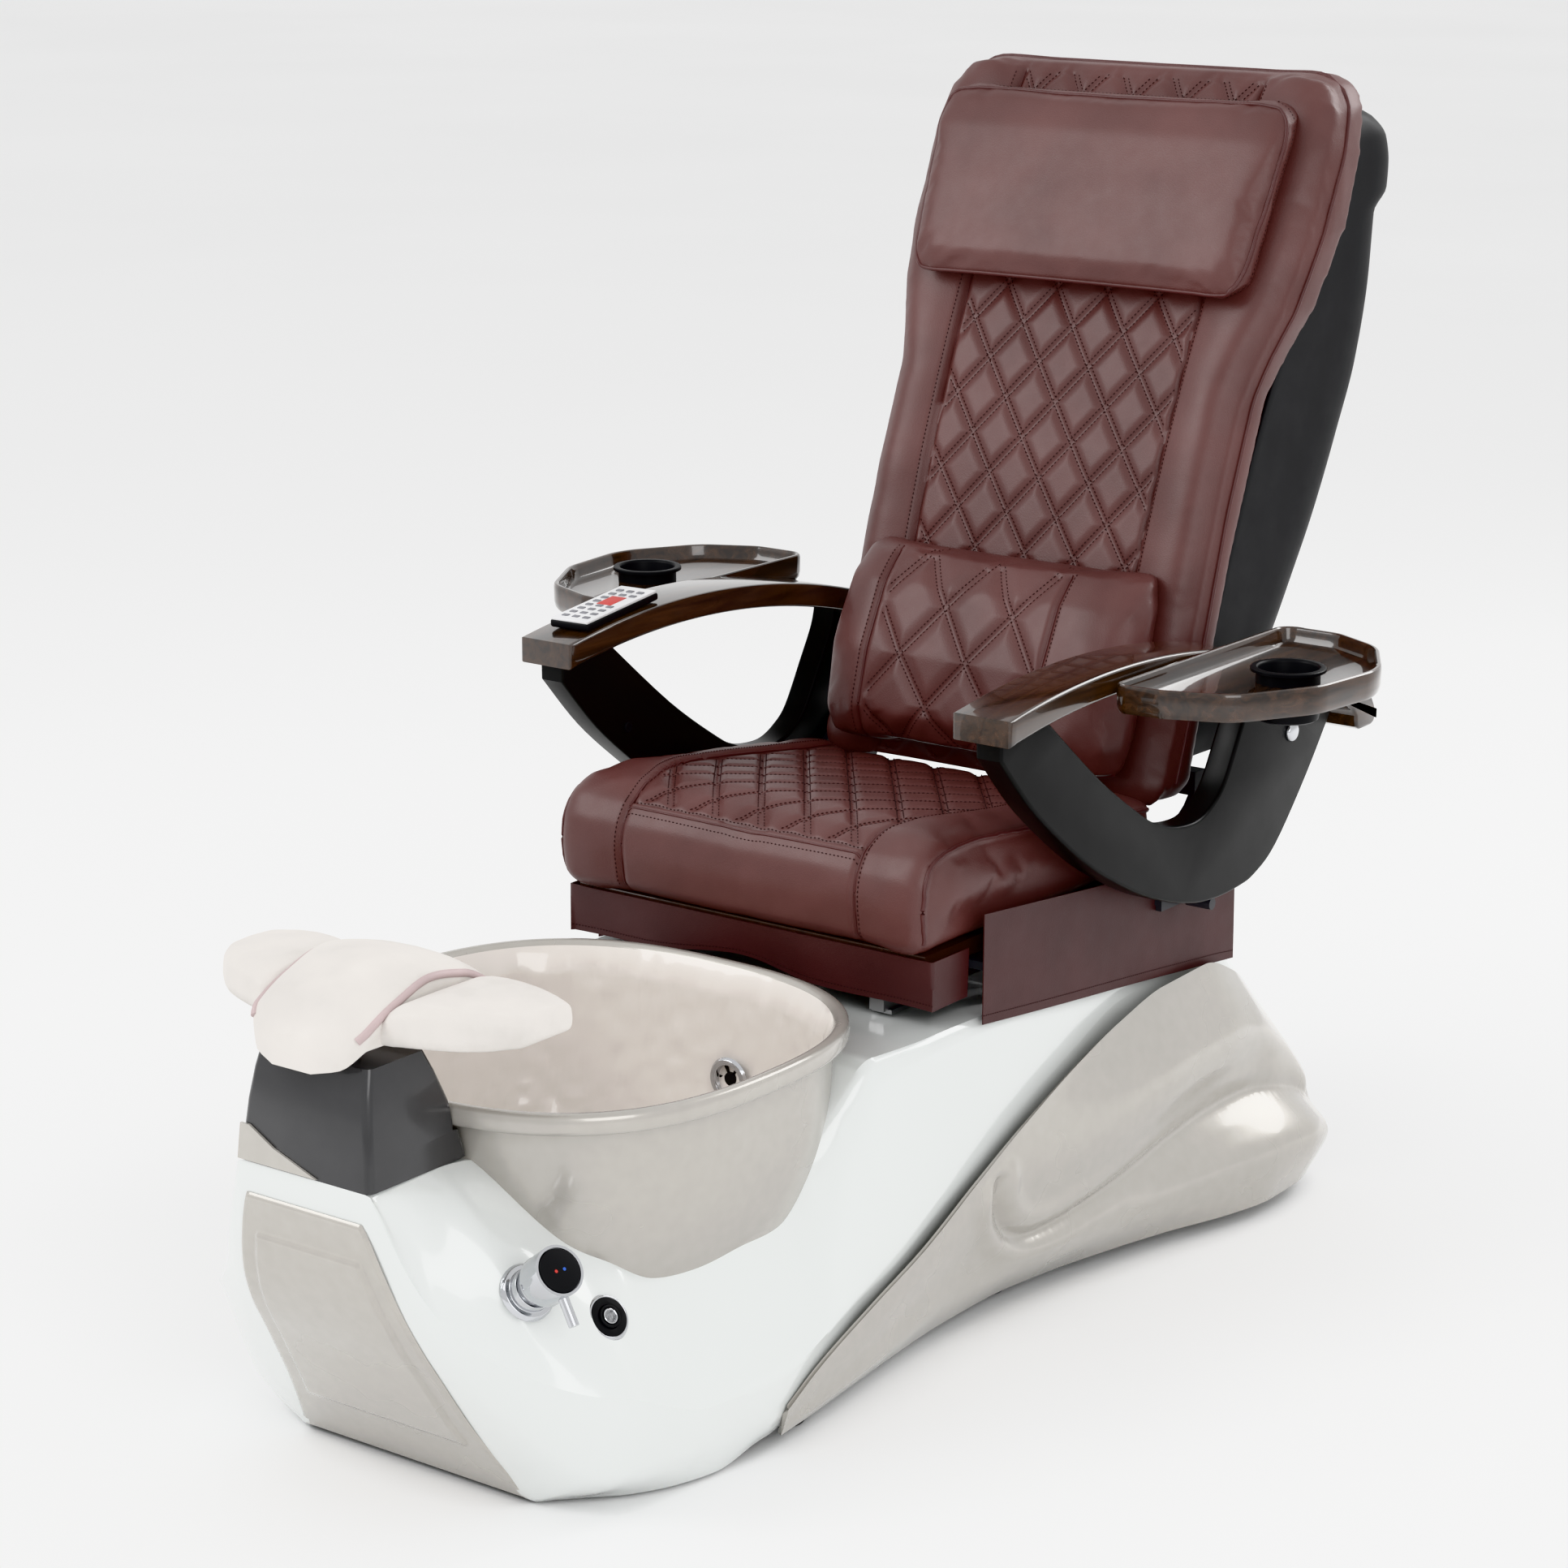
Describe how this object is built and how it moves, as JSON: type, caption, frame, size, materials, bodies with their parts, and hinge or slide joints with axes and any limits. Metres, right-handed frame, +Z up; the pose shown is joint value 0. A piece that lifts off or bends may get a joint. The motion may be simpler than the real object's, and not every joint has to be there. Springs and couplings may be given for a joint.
{
  "type": "pedicure spa chair",
  "caption": "Reclining massage seat with swing trays on a plumbed foot-bath base with a height-adjustable footrest.",
  "frame": {"origin": "centre of the bounding box's underside, on the floor", "axes": "+Z up, -Y the way the sitter faces, +X the sitter's left; x = 0 is the middle plane"},
  "size_m": [1.12, 1.77, 1.39],
  "materials": {
    "gelcoat_white": "glossy gelcoat",
    "pearl": "pearl metallic gelcoat",
    "bowl_cream": "glossy",
    "charcoal": "glossy",
    "chrome": "polished",
    "black_plastic": "satin",
    "steel": "powder coat",
    "bright_steel": "brushed",
    "rubber": "matt",
    "brass": "turned",
    "pipe_grey": "matt",
    "foam_ivory": "skinned foam",
    "leather_maroon": "fine-grained synthetic leather",
    "plywood": "plain",
    "walnut_lacquer": "high gloss lacquer",
    "arm_black": "satin black",
    "remote_dark": "satin",
    "remote_white": "glossy"
  },
  "bodies": {
    "base": {"base_shell": "gelcoat_white", "side_panel_left": "pearl", "side_panel_right": "pearl", "front_panel": "pearl", "pedestal_cover": "charcoal", "pedestal_trim": "pearl", "bowl": "bowl_cream", "bowl_drain": "chrome", "jet_housing": "chrome", "tap_plate": "chrome", "switch_bezel": "chrome", "switch_ring": "black_plastic", "levelling_feet": "rubber", "base_frame": "steel", "slide_rails": "bright_steel", "rear_panel": "black_plastic", "inlets": "brass", "waste_outlet": "pipe_grey", "valve_body": "brass", "discharge_pump": "black_plastic", "drain_pipe": "pipe_grey", "control_box": "black_plastic"},
    "stopper": {"drain_stopper": "chrome"},
    "impeller": {"jet_impeller": "black_plastic"},
    "tap_turret": {"tap_collar": "chrome"},
    "tap_handle": {"tap_head": "chrome", "tap_cap": "black_plastic"},
    "button": {"air_button": "chrome"},
    "footrest": {"footrest_post": "bright_steel", "footrest_pad_left": "foam_ivory", "footrest_pad_right": "foam_ivory", "footrest_saddle": "foam_ivory"},
    "seat": {"seat_frame": "steel", "seat_motor": "black_plastic", "seat_pan": "plywood", "seat_cushion": "leather_maroon", "front_skirt": "leather_maroon", "side_skirt_left": "leather_maroon", "side_skirt_right": "leather_maroon", "arm_bracket": "steel", "arm_pins": "chrome"},
    "arm_l": {"armrest_left": "walnut_lacquer", "arm_frame_left": "arm_black"},
    "arm_r": {"armrest_right": "walnut_lacquer", "arm_frame_right": "arm_black"},
    "tray_l": {"tray_left": "walnut_lacquer", "cup_holder_left": "black_plastic"},
    "tray_r": {"tray_right": "walnut_lacquer", "cup_holder_right": "black_plastic"},
    "remote": {"remote_body": "remote_dark", "remote_face": "remote_white"},
    "backrest": {"back_cushion": "leather_maroon", "back_shell": "black_plastic", "back_frame": "steel", "massage_rails": "chrome"},
    "headrest": {"headrest_pillow": "leather_maroon"},
    "lumbar": {"lumbar_pillow": "leather_maroon"},
    "carriage": {"massage_carriage": "steel"},
    "roller_low": {"roller_lower": "rubber"},
    "roller_up": {"roller_upper": "rubber"}
  },
  "joints": [
    {"name": "drain_stopper_lift", "type": "slide", "parent": "base", "child": "stopper", "axis": [0, 0, 1], "range_m": [0, 0.008]},
    {"name": "jet_spin", "type": "hinge", "parent": "base", "child": "impeller", "pos_m": [0.03, -0.201, 0.3], "axis": [0, -1, 0], "continuous": true},
    {"name": "tap_temperature_turn", "type": "hinge", "parent": "base", "child": "tap_turret", "pos_m": [0.197, -0.76, 0.26], "axis": [0.785, -0.1957, 0.5878], "range_deg": [-60, 60]},
    {"name": "tap_flow_tilt", "type": "hinge", "parent": "tap_turret", "child": "tap_handle", "pos_m": [0.2284, -0.7678, 0.2835], "axis": [-0.2419, -0.9703, 0], "range_deg": [0, 12]},
    {"name": "air_switch_press", "type": "slide", "parent": "base", "child": "button", "axis": [-0.7967, 0.1405, -0.5878], "range_m": [0, 0.003], "stiffness_N_per_m": 600},
    {"name": "footrest_height", "type": "slide", "parent": "base", "child": "footrest", "axis": [0, 0, 1], "range_m": [0, 0.06]},
    {"name": "seat_travel", "type": "slide", "parent": "base", "child": "seat", "axis": [0, 1, 0], "range_m": [0, 0.1]},
    {"name": "backrest_recline", "type": "hinge", "parent": "seat", "child": "backrest", "pos_m": [0, 0.4, 0.47], "axis": [-1, 0, 0], "range_deg": [0, 25]},
    {"name": "left_arm_lift", "type": "hinge", "parent": "seat", "child": "arm_l", "pos_m": [0.3125, 0.527, 0.608], "axis": [-1, 0, 0], "range_deg": [0, 50]},
    {"name": "right_arm_lift", "type": "hinge", "parent": "seat", "child": "arm_r", "pos_m": [-0.3125, 0.527, 0.608], "axis": [-1, 0, 0], "range_deg": [0, 50]},
    {"name": "left_tray_swing", "type": "hinge", "parent": "arm_l", "child": "tray_l", "pos_m": [0.378, 0.432, 0.735], "axis": [0, 0, 1], "range_deg": [0, 95]},
    {"name": "right_tray_swing", "type": "hinge", "parent": "arm_r", "child": "tray_r", "pos_m": [-0.378, 0.432, 0.735], "axis": [0, 0, -1], "range_deg": [0, 95]},
    {"name": "handset_lift_off", "type": "slide", "parent": "arm_r", "child": "remote", "axis": [0.0061, -0.0869, 0.9962], "range_m": [0, 0.15]},
    {"name": "headrest_flip", "type": "hinge", "parent": "backrest", "child": "headrest", "pos_m": [0, 0.664, 1.366], "axis": [-1, 0, 0], "range_deg": [0, 110]},
    {"name": "lumbar_height", "type": "slide", "parent": "backrest", "child": "lumbar", "axis": [0, 0.3223, 0.9466], "range_m": [0, 0.11]},
    {"name": "massage_travel", "type": "slide", "parent": "backrest", "child": "carriage", "axis": [0, 0.3827, 0.9239], "range_m": [-0.15, 0.15]},
    {"name": "lower_roller_spin", "type": "hinge", "parent": "carriage", "child": "roller_low", "pos_m": [0, 0.5965, 0.8696], "axis": [1, 0, 0], "continuous": true},
    {"name": "upper_roller_spin", "type": "hinge", "parent": "carriage", "child": "roller_up", "pos_m": [0, 0.6111, 0.9047], "axis": [1, 0, 0], "continuous": true}
  ]
}
